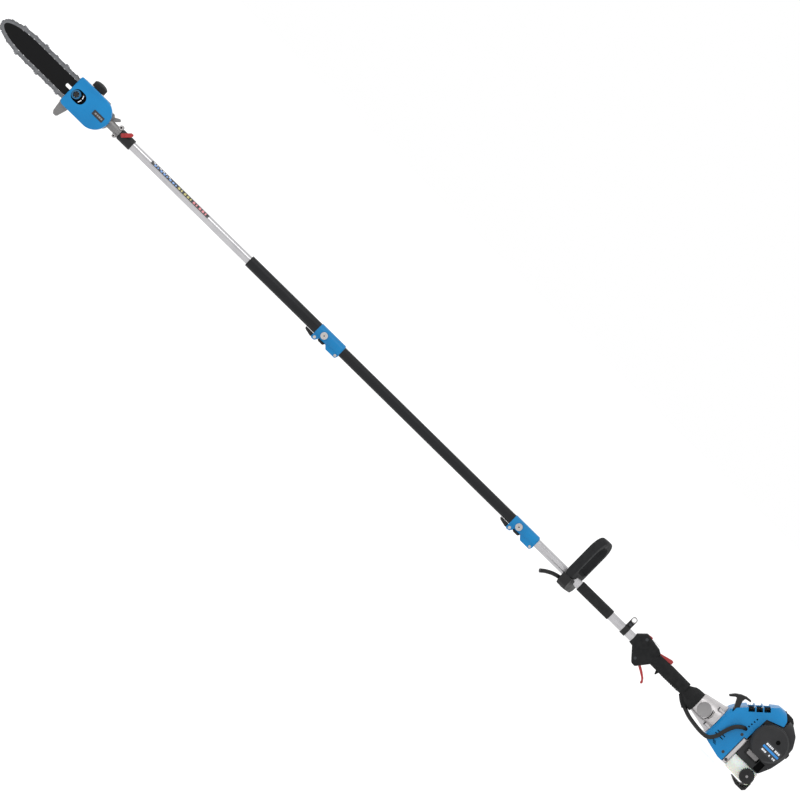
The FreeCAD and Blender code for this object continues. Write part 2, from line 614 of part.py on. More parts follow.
muffler = slab("XZ", [(1362, 38), (1428, 38), (1428, 98), (1362, 98)], 58, 56,
               corners=[(10, (0, 1, 2, 3))], rims=[(5, -1), (5, 1)])
muffler_inside = slab("XZ", [(1364, 40), (1426, 40), (1426, 96), (1364, 96)], 58, 51,
                      corners=[(8, (0, 1, 2, 3))])
node("muffler", less(muffler, muffler_inside, rod(5, 40, "X", (1410, 70, 50))))
guard = slab("XZ", [(1352, 28), (1438, 28), (1438, 86), (1424, 110), (1376, 110), (1352, 92)],
             "(shroud_half + engine_side + 0.4) / 2", "engine_side - shroud_half - 0.4",
             corners=[(8, (0, 1, 2, 3, 4, 5))], rims=[(6, 1)])
guard_inside = slab("XZ", [(1354.6, 30.6), (1435.4, 30.6), (1435.4, 85.3), (1422.6, 107.4),
                           (1376.8, 107.4), (1354.6, 90.8)], 78.5, 27,
                    corners=[(6, (0, 1, 2, 3, 4, 5))])
guard_slots = [block((1366, 85, 42 + 9 * k), (1424, 110, 46 + 9 * k)) for k in range(6)]
node("muffler_guard", less(guard, guard_inside, *guard_slots))

# ---------------------------------------------------------------- tank, foot and controls

tank = slab("XZ", [(1387.2, -73), (1474, -73), (1474, -27.2), (1387.2, -27.2)], 0, 110,
            corners=[(9, (0, 1)), (3, (2, 3))], rims=[(2.5, -1), (2.5, 1)])
tank_inside = slab("XZ", [(1389.2, -71), (1472, -71), (1472, -29.2), (1389.2, -29.2)], 0, 106,
                   corners=[(7, (0, 1))])
neck = ring("Y", 12, 15, -66, 13, ("cap_x", 0, "cap_z"))
node("fuel_tank", less(join(less(tank, tank_inside), neck),
                       rod(12, 30, "Y", ("cap_x", -70, "cap_z"))))
cap = lathe("Y", [(-55.6, 15.6), (-68, 15.6), (-68, 0), (-76, 0), (-76, "cap_radius - 2"),
                  (-74, "cap_radius"), (-55.6, "cap_radius")], ("cap_x", 0, "cap_z"))
flutes = [rod(2.2, 30, "Y", (1453 + 23 * math.cos(turn), -80, -51 + 23 * math.sin(turn)))
          for turn in [math.radians(15 * k) for k in range(24)]]
node("fuel_cap", less(cap, *flutes))

node("foot_stand", slab(
    "XZ", [(1430, -84), (1434, -81.5), (1462, -83), (1470, -79), (1474.2, -72), (1474.2, -58),
           (1478, -58), (1478, -82), (1471, -90), (1446, -90)], 0, "foot_width",
    corners=[(5, (2, 3, 8)), (3, (4,))], rims=[(1.5, -1), (1.5, 1)]))

choke = join(slab("XZ", [(1401, 5), (1401, -4), (1405, -8), (1440, -8), (1446, -3), (1443, -1),
                         (1439, -5), (1408, -5), (1406, -2), (1407, 5)], -60.2, 2.6,
                  corners=[(1, (1, 2, 3, 4, 5))]),
             rod(2, 10, "Y", (1404, -60, 1)))
node("choke_lever", choke)
node("primer_bulb", lathe("Y", [(-50, 0), (-57, 0), (-55.5, 5), (-51, 8), (-46, 8.5), (-46, 0)],
                          (1459, 0, -13)))
node("cover_knob", lathe("X", [(1490, 0), (1490, 2.95), (1497.6, 2.95), (1497.6, 9),
                               ("knob_end - 1.5", 9), ("knob_end", 7), ("knob_end", 0)],
                         (0, 0, 64)))

t_bar = slab("XZ", [(1259, 77), (1263, 74), (1275, 84), (1281, 87), (1297, 56), (1304, 54),
                    (1309, 60), (1299, 90), (1300, 99), (1304, 101), (1317, 103), (1316, 108),
                    (1300, 107), (1284, 101), (1270, 91)], -48, 22,
             corners=[(1.5, (0, 1, 10, 11)), (4, (3, 8)), (3, (4, 5, 6))],
             rims=[(1.4, -1), (1.4, 1)])
rope = place(rod(1.7, 26, "Z", (0, 0, 0)), (1311.6, -48, 40.6), pull_way)
node("starter_handle", group(t_bar, less(rope, t_bar)))

# ---------------------------------------------------------------- telescope clamps


def clamp(front, tube, inner_tube, barrel):
    """Blue clamp, its fixed hardware and its lever, on the rear end of a tube.

    front is the clamp's front end; tube and inner_tube are outside radii as formulas;
    barrel is the clamp's own outside radius."""
    rear = front + num("clamp_length")
    drop = barrel - 17.3
    body = lathe("X", [(front, 0), (front, barrel - 1), (front + 1, barrel), (rear - 4, barrel),
                       (rear, barrel - 4), (rear, 0)])
    rear_lug = slab("XZ", [(front + 44, -8), (front + 46, -18), (front + 55, -27.5),
                           (front + 90, -27.5), (rear, -20), (rear, -8)], 0, 24,
                    corners=[(4, (1, 2, 3, 4))], rims=[(2, -1), (2, 1)])
    fork = slab("XZ", [(front, -8), (front, -28 - drop), (front + 5, -30.5 - drop),
                       (front + 14, -29 - drop), (front + 20, -20 - drop), (front + 20, -8)],
                0, 24, corners=[(3, (1, 2, 3))], rims=[(2, -1), (2, 1)])
    pad = rod(12.5, 2 * barrel + 1, "Y", (front + 27, -barrel - 0.5, -2.4))
    pivot = (front + 9, -13.5, -22.2 - drop)
    pin = join(rod(2.5, 27, "Y", pivot), rod(4.6, 1.6, "Y", (pivot[0], -13.6, pivot[2])),
               rod(4.6, 1.6, "Y", (pivot[0], 12, pivot[2])))
    washer = join(lathe("Y", [(-barrel - 0.5, 0), (-barrel - 3, 0), (-barrel - 3, 9.5),
                              (-barrel - 2, 10.6), (-barrel - 0.5, 10.6)], (front + 27, 0, -2.4)),
                  rod(3.2, 1.5, "Y", (front + 27, -barrel - 4.5, -2.4)))
    rear_pin = join(rod(2.5, 27, "Y", (front + 86.5, -13.5, -21)),
                    rod(4.2, 1.6, "Y", (front + 86.5, -13.6, -21)))
    lever_slot = block((front - 5, -5.4, -40), (front + 16, 5.4, -barrel - 0.2))
    grip = num("clamp_grip")
    body = less(join(body, rear_lug, fork, pad),
                rod(tube, grip + 1, "X", (front - 1, 0, 0)),
                rod(inner_tube + " + 0.3", 60, "X", (front + grip - 0.5, 0, 0)),
                block((front + grip + 4, -1, -40), (rear + 1, 1, -10)),
                lever_slot, pin, washer, rear_pin)
    top = -num(tube) - 0.8 - drop * 0.2
    lever = slab("XZ", [(front - 28, top), (front - 29, -20 - drop), (front - 25, -24 - drop),
                        (front - 4, -29 - drop), (front + 9, -27.4 - drop),
                        (front + 13.6, -22 - drop), (front + 9, -barrel - 0.6),
                        (front + 1, -barrel - 0.6), (front - 3, top)], 0, 10,
                 corners=[(1.5, (0, 1, 2)), (3, (4, 5))], rims=[(1.2, -1), (1.2, 1)])
    return body, [pin, washer, rear_pin], less(lever, rod(2.56, 27, "Y", pivot))


# ---------------------------------------------------------------- pole, middle stage

node("middle_tube", ring("X", "middle_id / 2", "middle_od / 2", "middle_front",
                         "middle_rear - middle_front"))
middle_clamp, middle_bolts, middle_lever = clamp(489, "middle_od / 2", "tube_od / 2", 17.3)
node("middle_clamp", middle_clamp)
node("middle_clamp_bolts", group(*middle_bolts))
node("middle_clamp_lever", middle_lever)
half_square = "shaft_square / 2"
minus_square = "-shaft_square / 2"
node("drive_shaft_middle", slab("YZ", [(minus_square, minus_square), (half_square, minus_square),
                                       (half_square, half_square), (minus_square, half_square)],
                                0, 940, corners=[(0.8, (0, 1, 2, 3))]))

# ---------------------------------------------------------------- pole, front stage

node("sleeve_tube", ring("X", "sleeve_id / 2", "sleeve_od / 2", "sleeve_front",
                         "sleeve_rear - sleeve_front"))
sleeve_clamp, sleeve_bolts, sleeve_lever = clamp(-274, "sleeve_od / 2",
                                                 "middle_od / 2", 19)
node("sleeve_clamp", sleeve_clamp)
node("sleeve_clamp_lever", sleeve_lever)
node("upper_tube", ring("X", "tube_id / 2", "tube_od / 2", "upper_front",
                        "upper_rear - upper_front"))
bushes = [ring("X", "bush_bore / 2", "tube_id / 2", x, 20) for x in (-1020, -760, -510)]
bushes.append(lathe("X", [(-545, "tube_od / 2"), (-490, "tube_od / 2"), (-490, "sleeve_id / 2"),
                          (-545, "sleeve_id / 2")]))
node("upper_bushes", group(*bushes))
latch_pin = join(rod(2, 11, "Y", (-1041, -24, 4)), rod(3.6, 1.4, "Y", (-1041, -24.2, 4)))
collar = lathe("X", [(-1052, 12.5), (-1029, 12.5), (-1029, "tube_od / 2"),
                     (-1004, "tube_od / 2"), (-1004, 15.5), (-1005, 16.5), (-1050, 16.5),
                     (-1052, 14.5)])
latch_boss = less(rod(5, 6, "Y", (-1041, -17, 4)), rod(13, 60, "X", (-1060, 0, 0)))
node("pole_collar", less(join(collar, latch_boss), latch_pin))

# ---------------------------------------------------------------- saw head

neck_screws = [screw("Y", (-1060, -9, 15), 18, 1, 6.2, 2.5),
               screw("Y", (-1061, -9, -16.5), 18, 1, 4.4, 2.5)]
stud = join(rod(4, 30, "Y", ("stud_x", -39, -5.5)),
            slab("XZ", [("stud_x + %.4f" % (8.4 * math.cos(turn)), -5.5 + 8.4 * math.sin(turn))
                        for turn in [math.radians(60 * k + 30) for k in range(6)]], -32.6, 7))
second_stud = rod(4, 20, "Y", (-1192, -29, -5.5))
node("front_screws", group(*(neck_screws + [stud, second_stud, latch_pin] + sleeve_bolts)))

head_outline = [("head_front - 2", "head_bottom + 1"), ("head_rear - 1", "head_bottom + 1"),
                ("head_rear - 1", "head_top - 0.6"), ("head_front - 2", "head_top - 0.6")]
plate = slab("XZ", head_outline, "(case_face + case_back) / 2", "case_back - case_face",
             corners=[(46.8, (1, 2)), (8, (3,)), (3, (0,))])
spike = slab("XZ", [(-1237, -40), (-1200, -40), (-1204, -60), (-1212, -86), (-1216, -90),
                    (-1225, -90), (-1231, -82)], "case_face + 5", 10,
             corners=[(3, (4, 5))], rims=[(2, -1), (2, 1)])
chamber = slab("XZ", [(-1170, -27), (-1100, -27), (-1094, -18), (-1094, 18), (-1100, 27),
                      (-1170, 27)], 8.5, 41, corners=[(6, (0, 1, 2, 3, 4, 5))], rims=[(3, 1)])
bar_pad = slab("XZ", [(-1234, -17), (-1178, -17), (-1178, 6), (-1234, 6)], -21.1, 2.2,
               corners=[(6, (0, 1, 2, 3))])
spigot = lathe("X", [(-1110, 0), (-1110, 14), (-1096, 13), (-1056, 12.5), (-1029, 12.5),
                     (-1029, 0)])
lugs = [rod(7, 18, "Y", (-1060, -9, 15)), rod(5.4, 18, "Y", (-1061, -9, -16.5)),
        block((-1067, -9, -17), (-1053.5, 9, 16))]
hook = slab("XZ", [(-1104, 8), (-1090, 8), (-1074, 24), (-1075, 28), (-1080, 30), (-1106, 16)],
            0, 9, corners=[(2.5, (2, 3, 4))], rims=[(1.5, -1), (1.5, 1)])
gear_space = [rod(20, 40, "Y", ("sprocket_x", -15, 0)), rod(15, 24, "X", (-1136, 0, 0)),
              rod("bush_bore / 2", 30, "X", (-1120, 0, 0)), rod(7, 80, "X", (-1092, 0, 0)),
              rod("bush_bore / 2", 30, "Y", ("sprocket_x", -30, 0))]
node("gear_case", less(join(plate, spike, chamber, bar_pad, spigot, *(lugs + [hook])),
                       *(gear_space + neck_screws + [stud, second_stud])))

oil_tank = slab("XZ", [(-1235, -12), (-1174, -12), (-1174, 27.4), (-1120, 27.4), (-1132, 41.6),
                       (-1235, 41.6)], 9.8, 43.4, corners=[(8, (0, 5)), (4, (1, 3, 4))],
                rims=[(4, 1)])
oil_space = slab("XZ", [(-1232.6, -9.6), (-1176.4, -9.6), (-1176.4, 29.8), (-1125, 29.8),
                        (-1133, 39.2), (-1232.6, 39.2)], 9.8, 38.6, corners=[(6, (0, 5))])
filler = rod(15, 12, "Z", (-1182, 9, 40))
node("oil_tank", less(join(less(oil_tank, oil_space), filler), rod(12, 30, "Z", (-1182, 9, 30)),
                      stud, second_stud))
oil_cap = lathe("Z", [(43.6, 15.6), (54, 15.6), (54, 0), (66, 0), (65, 10), (62.5, 17),
                      (59.5, 21), (58, "cap_radius"), (43.6, "cap_radius")], (-1182, 9, 0))
flutes = [rod(1.6, 17, "Z", (-1182 + 22.9 * math.cos(turn), 9 + 22.9 * math.sin(turn), 43))
          for turn in [math.radians(12 * k) for k in range(30)]]
node("oil_cap", less(oil_cap, *flutes))

cover_outline = [("head_front", "head_bottom"), ("head_rear", "head_bottom"),
                 ("head_rear", "head_top"), ("head_front", "head_top")]
cover = slab("XZ", cover_outline, "(cover_face + case_face) / 2 - 0.1",
             "case_face - cover_face - 0.2", corners=[(47.8, (1, 2)), (12, (0,)), (5, (3,))],
             rims=[(5, -1)])
cover_space = slab("XZ", [("head_front + 2.6", "head_bottom + 2.6"),
                          ("head_rear - 2.6", "head_bottom + 2.6"),
                          ("head_rear - 2.6", "head_top - 2.6"),
                          ("head_front + 2.6", "head_top - 2.6")], -29.2, 20.6,
                   corners=[(45.2, (1, 2)), (10, (0,)), (3, (3,))])
bar_mouth = block((-1250, -31.5, -46), (-1230, -19, 37))
nut_boss = join(less(rod(13.5, 14, "Y", ("stud_x", -41, -5.5)),
                     rod(9.2, 12, "Y", ("stud_x", -42, -5.5)),
                     rod(4.3, 20, "Y", ("stud_x", -42, -5.5))),
                block((-1233.5, -39, -8), (-1225, -29.4, -3)))
nut_window = slab("XZ", [(-1226.5, -23.5), (-1180, -23.5), (-1180, 12.5), (-1226.5, 12.5)],
                  -40, 8, corners=[(17.6, (0, 1, 2, 3))])
badge_recess = slab("XZ", [(-1146, -14), (-1107, -14), (-1107, 2), (-1146, 2)], -42, 2,
                    corners=[(2, (0, 1, 2, 3))])
node("side_cover", less(join(less(cover, cover_space, nut_window), nut_boss), bar_mouth,
                        badge_recess, stud))

node("latch_lever", less(
    slab("XZ", [(-1050, 3), (-1041, -5), (-1022, 14), (-1018, 21), (-1021, 26), (-1028, 25)],
         -19.9, 5.6, corners=[(3, (0, 1, 3, 4, 5))], rims=[(1.2, -1), (1.2, 1)]),
    rod(2.05, 20, "Y", (-1041, -30, 4))))

pinion = lathe("X", [(-1134, 0), (-1134, 7.4), (-1126.6, 13), (-1121, 13), (-1121, 9),
                     (-1118.5, 9), (-1118.5, 0)])
pinion_teeth = [rod(1.3, 12, "X", (-1134, 13.4 * math.cos(turn), 13.4 * math.sin(turn)))
                for turn in [math.radians(30 * k) for k in range(12)]]
front_shaft = less(rod("shaft_od / 2", 798.5, "X", (-1118.5, 0, 0)),
                   block((-720, "-(%s)" % square, "-(%s)" % square), (-300, square, square)))
node("drive_shaft_front", group(front_shaft, less(pinion, *pinion_teeth)))
gear = lathe("Y", [(-34, 0), (-34, "shaft_od / 2"), (8.2, "shaft_od / 2"), (8.2, 9.6),
                   (13.6, 17.2), (17, 17.2), (19, 10), (24, 10), (24, 0)], ("sprocket_x", 0, 0))
gear_teeth = [rod(1.3, 6, "Y", (-1145 + 17.6 * math.cos(turn), 11.5, 17.6 * math.sin(turn)))
              for turn in [math.radians(22.5 * k) for k in range(16)]]
rim = ring("Y", "shaft_od / 2", 10, "bar_plane - 4", 8, ("sprocket_x", 0, 0))
sprocket_teeth = [rod(2.4, 10, "Y", (-1145 + 10.6 * math.cos(turn), -30, 10.6 * math.sin(turn)))
                  for turn in [math.radians(60 * k) for k in range(6)]]
node("sprocket_gear", group(less(gear, *gear_teeth), less(rim, *sprocket_teeth)))

# ---------------------------------------------------------------- guide bar and chain


def bar_layer(inset, middle, width):
    """One layer of the bar: a straight rear part and an elliptical nose."""
    straight = slab("XZ", [("bar_straight", "bar_centre - bar_half + %s" % inset),
                           ("bar_rear", "bar_centre - bar_half + %s" % inset),
                           ("bar_rear", "bar_centre + bar_half - %s" % inset),
                           ("bar_straight", "bar_centre + bar_half - %s" % inset)],
                    middle, width, corners=[(18, (1, 2))])
    curve = new("Part::Ellipse", "Nose")
    bind(curve, "MajorRadius", "bar_nose - %s" % inset)
    bind(curve, "MinorRadius", "bar_half - %s" % inset)
    place(curve, ("bar_straight", 0, "bar_centre"), Rotation(Vector(1, 0, 0), 90))
    nose = new("Part::Extrusion", "NoseSolid")
    nose.Base = curve
    nose.DirMode = "Custom"
    nose.Dir = Vector(0, 1, 0)
    bind(nose, "LengthFwd", width)
    nose.Solid = True
    place(nose, (0, "(%s) - (%s) / 2" % (middle, width), 0))
    return join(straight, nose)


side_plate = "(bar_thick - gauge - 0.1) / 2"
bar = join(bar_layer("0", "bar_plane - (gauge + 0.1) / 2 - (%s) / 2" % side_plate, side_plate),
           bar_layer("0", "bar_plane + (gauge + 0.1) / 2 + (%s) / 2" % side_plate, side_plate),
           bar_layer("groove_depth", "bar_plane", "gauge + 0.1"))
bar_slot = slab("XZ", [(-1255, -9.6), (-1184, -9.6), (-1184, 0), (-1255, 0)], "bar_plane", 12,
                corners=[(4.6, (0, 1, 2, 3))])
node("guide_bar", less(bar, bar_slot))


def chain_line():
    """Closed pitch line round the bar and the sprocket, as a fine polygon (x, z)."""
    rise, centre = num("chain_rise"), num("bar_centre")
    long, high = num("bar_nose") + rise, num("bar_half") + rise
    front, tail = num("bar_straight"), num("bar_rear") - 18
    points = [(front - long * math.cos(turn), centre + high * math.sin(turn))
              for turn in [math.radians(k - 90) for k in range(181)]]
    points += [(tail, centre - high), (tail, centre + high)]
    pitch = num("sprocket_pitch")
    points += [(num("sprocket_x") + pitch * math.cos(turn), pitch * math.sin(turn))
               for turn in [math.radians(2 * k - 100) for k in range(101)]]
    points.sort()
    hull = []
    for ordered in (points, points[::-1]):
        chain = []
        for point in ordered:
            while len(chain) > 1 and ((chain[-1][0] - chain[-2][0]) * (point[1] - chain[-2][1])
                                      - (chain[-1][1] - chain[-2][1])
                                      * (point[0] - chain[-2][0])) <= 0:
                chain.pop()
            chain.append(point)
        hull += chain[:-1]
    return hull


def rivets():
    """Rivet places, evenly spaced along the pitch line."""
    line = chain_line()
    line.append(line[0])
    lengths = [math.dist(a, b) for a, b in zip(line, line[1:])]
    total = sum(lengths)
    count = 8 * round(total / num("chain_pitch") / 8)
    places, gone, index = [], 0.0, 0
    for k in range(count):
        target = total * k / count
        while gone + lengths[index] < target:
            gone += lengths[index]
            index += 1
        share = (target - gone) / lengths[index]
        a, b = line[index], line[index + 1]
        places.append((a[0] + (b[0] - a[0]) * share, a[1] + (b[1] - a[1]) * share))
    return places


def link(first, second, shape, low, thick):
    """Flat link between two rivets; shape is drawn along the chain, outward positive."""
    middle = ((first[0] + second[0]) / 2, (first[1] + second[1]) / 2)
    reach = math.dist(first, second)
    along = ((second[0] - first[0]) / reach, (second[1] - first[1]) / reach)
    out = (along[1], -along[0])
    corners = [Vector(middle[0] + along[0] * u + out[0] * v, low, middle[1] + along[1] * u
                      + out[1] * v) for u, v in shape]
    face = Part.Face(Part.makePolygon(corners + corners[:1]))
    return face.extrude(Vector(0, thick, 0))


drive = [(-7.2, -1.2), (-5.6, 3.4), (-3, 5.4), (3, 5.4), (5.6, 3.4), (7.2, -1.2), (2.6, -7.4),
         (-2.2, -7.4)]
tie = [(-7, -3.4), (-7, 1.6), (-5.2, 4.6), (-3.4, 4.6), (-1.4, 2.6), (1.4, 2.6), (3.4, 4.6),
       (5.2, 4.6), (7, 1.6), (7, -3.4)]
cutter = [(-7, -3.4), (-7, 2), (-4.6, 8), (2.8, 9.2), (3.6, 4.4), (5.2, 4.6), (7, 1.6),
          (7, -3.4)]
gauge, plane = num("gauge"), num("bar_plane")
pins = rivets()
links = []
for index, (first, second) in enumerate(zip(pins, pins[1:] + pins[:1])):
    if index % 2 == 0:
        links.append(link(first, second, drive, plane - gauge / 2, gauge))
        continue
    near = cutter if index % 8 == 1 else tie
    far = cutter if index % 8 == 5 else tie
    links.append(link(first, second, near, plane - gauge / 2 - 1.3, 1.3))
    links.append(link(first, second, far, plane + gauge / 2, 1.3))
saw_chain = new("Part::Feature", "Chain")
saw_chain.Shape = Part.makeCompound(links)
node("saw_chain", saw_chain)
print("chain pitches", len(pins))

# ---------------------------------------------------------------- check and write

doc.recompute()
faults = ["%s %s" % (obj.Label, obj.State) for obj in doc.Objects
          if "Invalid" in obj.State or "Error" in obj.State]
for name, piece in nodes.items():
    if piece.Shape.isNull() or not piece.Shape.isValid():
        faults.append(name + " has no valid shape")
if faults:
    raise RuntimeError("; ".join(faults))
os.makedirs("parts", exist_ok=True)
for name, piece in nodes.items():
    piece.Shape.exportStep("parts/%s.step" % name)
    print("%-22s %3d solids %10.0f mm3" % (name, len(piece.Shape.Solids), piece.Shape.Volume))
whole = Part.makeCompound([piece.Shape for piece in nodes.values()]).BoundBox
print(len(nodes), "nodes", whole)
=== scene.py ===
import math

import bmesh
import bpy
from mathutils import Matrix, Vector


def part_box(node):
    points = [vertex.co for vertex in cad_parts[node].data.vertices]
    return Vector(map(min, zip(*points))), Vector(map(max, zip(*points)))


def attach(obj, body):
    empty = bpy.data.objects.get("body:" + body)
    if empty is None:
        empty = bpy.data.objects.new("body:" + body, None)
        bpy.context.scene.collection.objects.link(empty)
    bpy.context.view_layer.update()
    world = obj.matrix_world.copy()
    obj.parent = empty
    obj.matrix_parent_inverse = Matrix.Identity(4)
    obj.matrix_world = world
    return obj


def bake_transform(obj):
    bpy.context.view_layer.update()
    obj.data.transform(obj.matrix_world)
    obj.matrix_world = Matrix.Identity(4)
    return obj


# Looks of the telescoping pole saw: materials for the CAD sub-parts and the small trim
# that they don't hold. Metres; z = AXIS is the pole axis, -Y the side that is seen.

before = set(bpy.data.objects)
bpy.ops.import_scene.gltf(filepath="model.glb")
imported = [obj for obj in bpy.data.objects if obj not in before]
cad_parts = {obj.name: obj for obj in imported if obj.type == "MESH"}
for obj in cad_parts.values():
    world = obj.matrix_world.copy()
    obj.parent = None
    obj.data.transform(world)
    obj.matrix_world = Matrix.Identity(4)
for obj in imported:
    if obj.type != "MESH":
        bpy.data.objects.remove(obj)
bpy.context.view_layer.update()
AXIS = 0.09  # height of the pole axis, metres
MM = 0.001  # metres in a millimetre; pieces are drawn in millimetres from the pole axis
SOFT_ANGLE = math.radians(40)  # corners sharper than this are rounded
SMOOTH_ANGLE = math.radians(35)  # faces closer than this shade as one


# ------------------------------------------------------------------ materials

def rgb(code):
    """Linear colour from a hex code."""
    parts = [int(code[i:i + 2], 16) / 255 for i in (0, 2, 4)]
    return [(p / 12.92 if p < 0.04045 else ((p + 0.055) / 1.055) ** 2.4) for p in parts] + [1.0]


class Nodes:
    """Short way to write a node tree."""

    def __init__(self, name):
        self.material = bpy.data.materials.new(name)
        self.material.use_nodes = True
        self.tree = self.material.node_tree
        self.shader = self.tree.nodes["Principled BSDF"]
        self.place = self.add("ShaderNodeTexCoord").outputs["Object"]

    def add(self, kind, **values):
        node = self.tree.nodes.new(kind)
        for key, value in values.items():
            if hasattr(node, key):
                setattr(node, key, value)
            else:
                self.set(node.inputs[key.replace("_", " ")], value)
        return node

    def set(self, socket, value):
        if isinstance(value, bpy.types.NodeSocket):
            self.tree.links.new(value, socket)
        else:
            socket.default_value = value

    def scaled(self, scale):
        mapping = self.add("ShaderNodeMapping", Vector=self.place)
        mapping.inputs["Scale"].default_value = scale
        return mapping.outputs["Vector"]

    def noise(self, size, stretch=(1, 1, 1), detail=4.0):
        """Noise with features of about a size in millimetres."""
        where = self.scaled([s * 1000 / size for s in stretch])
        node = self.add("ShaderNodeTexNoise", Vector=where, Scale=1.0, Detail=detail)
        return node.outputs["Fac"]

    def spots(self, size):
        """Distance to the nearest of scattered points, about a size in millimetres apart."""
        where = self.scaled([1000 / size] * 3)
        node = self.add("ShaderNodeTexVoronoi", feature="F1", Vector=where, Scale=1.0)
        return node.outputs["Distance"]

    def spread(self, value, low, high, a=0.3, b=0.7):
        """Value from a to b, stretched to run from low to high."""
        node = self.add("ShaderNodeMapRange", Value=value)
        sockets = ("From Min", "From Max", "To Min", "To Max")
        for name, amount in zip(sockets, (a, b, low, high)):
            node.inputs[name].default_value = amount
        return node.outputs["Result"]

    def mix(self, share, first, second):
        node = self.add("ShaderNodeMix", data_type="RGBA", blend_type="MIX")
        self.set(node.inputs["Factor"], share)
        self.set(node.inputs[6], first)
        self.set(node.inputs[7], second)
        return node.outputs[2]

    def bump(self, height, depth, strength=1.0, onto=None):
        node = self.add("ShaderNodeBump", Height=height, Strength=strength)
        node.inputs["Distance"].default_value = depth * MM
        if onto is not None:
            self.set(node.inputs["Normal"], onto)
        return node.outputs["Normal"]

    def done(self, color, rough, normal, metallic=0.0, **plain):
        self.set(self.shader.inputs["Base Color"], color)
        self.set(self.shader.inputs["Roughness"], rough)
        self.set(self.shader.inputs["Normal"], normal)
        self.shader.inputs["Metallic"].default_value = metallic
        for key, value in plain.items():
            self.shader.inputs[key.replace("_", " ")].default_value = value
        return self.material


def plastic(name, light, dark, rough=(0.35, 0.5), grain=0.9, depth=0.05, **plain):
    """Moulded plastic: slow colour drift, fine dust, erosion grain and sink marks."""
    n = Nodes(name)
    drift = n.spread(n.noise(70, detail=3), 0, 1)
    dust = n.spread(n.noise(6, detail=6), 0, 0.35, 0.45, 0.8)
    color = n.mix(drift, rgb(dark), rgb(light))
    color = n.mix(dust, color, rgb(light))
    rub = n.spread(n.noise(22, detail=5), rough[0], rough[1])
    sink = n.bump(n.noise(30, detail=2), 0.25, 0.35)
    return n.done(color, rub, n.bump(n.noise(grain, detail=5), depth, 0.5, sink), **plain)


def metal(name, light, dark, rough, stretch, size, depth=0.02, metallic=1.0, **plain):
    """Drawn or brushed metal: fine lines along the worked direction and faint stains."""
    n = Nodes(name)
    lines = n.noise(size, stretch, detail=6)
    stain = n.spread(n.noise(45, detail=4), 0, 1)
    color = n.mix(n.spread(lines, 0, 0.6), rgb(light), rgb(dark))
    color = n.mix(stain, color, rgb(light))
    rub = n.spread(n.noise(3 * size, stretch, detail=3), rough[0], rough[1])
    return n.done(color, rub, n.bump(lines, depth, 0.4), metallic, **plain)


def cast(name, light, dark, rough=(0.38, 0.6)):
    """Sand-blasted die casting: pitted skin with darker hollows."""
    n = Nodes(name)
    pits = n.spread(n.spots(1.6), 0, 1, 0.0, 0.6)
    skin = n.noise(2.2, detail=7)
    color = n.mix(n.spread(skin, 0, 1), rgb(dark), rgb(light))
    color = n.mix(n.spread(n.noise(40, detail=3), 0.0, 0.4), color, rgb(dark))
    rub = n.spread(skin, rough[0], rough[1])
    return n.done(color, rub, n.bump(skin, 0.08, 0.5, n.bump(pits, 0.05, 0.35)), 0.85)


def rubber(name, light, dark, cell, depth, ribs=0.0):
    """Soft grip: closed-cell or pebbled skin, with worn lighter patches."""
    n = Nodes(name)
    cells = n.spots(cell)
    wear = n.spread(n.noise(35, detail=4), 0, 0.5)
    color = n.mix(wear, rgb(dark), rgb(light))
    color = n.mix(n.spread(cells, 0, 0.35, 0.1, 0.6), color, rgb(light))
    normal = n.bump(cells, depth, 0.6)
    if ribs:
        wave = n.add("ShaderNodeTexWave", Vector=n.scaled([1000 / ribs, 0, 0]), Scale=1.0,
                     Distortion=0.2)
        normal = n.bump(wave.outputs["Fac"], 0.5, 0.6, normal)
    return n.done(color, n.spread(n.noise(12), 0.7, 0.9), normal, Specular_IOR_Level=0.3)


def clear_tank(name):
    """Milky translucent polyethylene with a faint fuel line and mould grain."""
    n = Nodes(name)
    depth = n.add("ShaderNodeSeparateXYZ", Vector=n.place).outputs["Z"]
    wobble = n.add("ShaderNodeMath", operation="ADD")
    n.set(wobble.inputs[0], depth)
    n.set(wobble.inputs[1], n.spread(n.noise(30), -0.001, 0.001))
    level = n.spread(wobble.outputs["Value"], 1, 0, 0.036, 0.041)
    color = n.mix(level, rgb("f0eee9"), rgb("e6e3d6"))
    color = n.mix(n.spread(n.noise(25), 0, 0.35), color, rgb("e0deda"))
    return n.done(color, n.spread(n.noise(9), 0.32, 0.48), n.bump(n.noise(1.4), 0.06, 0.5),
                  Subsurface_Weight=0.25, Subsurface_Scale=0.01)


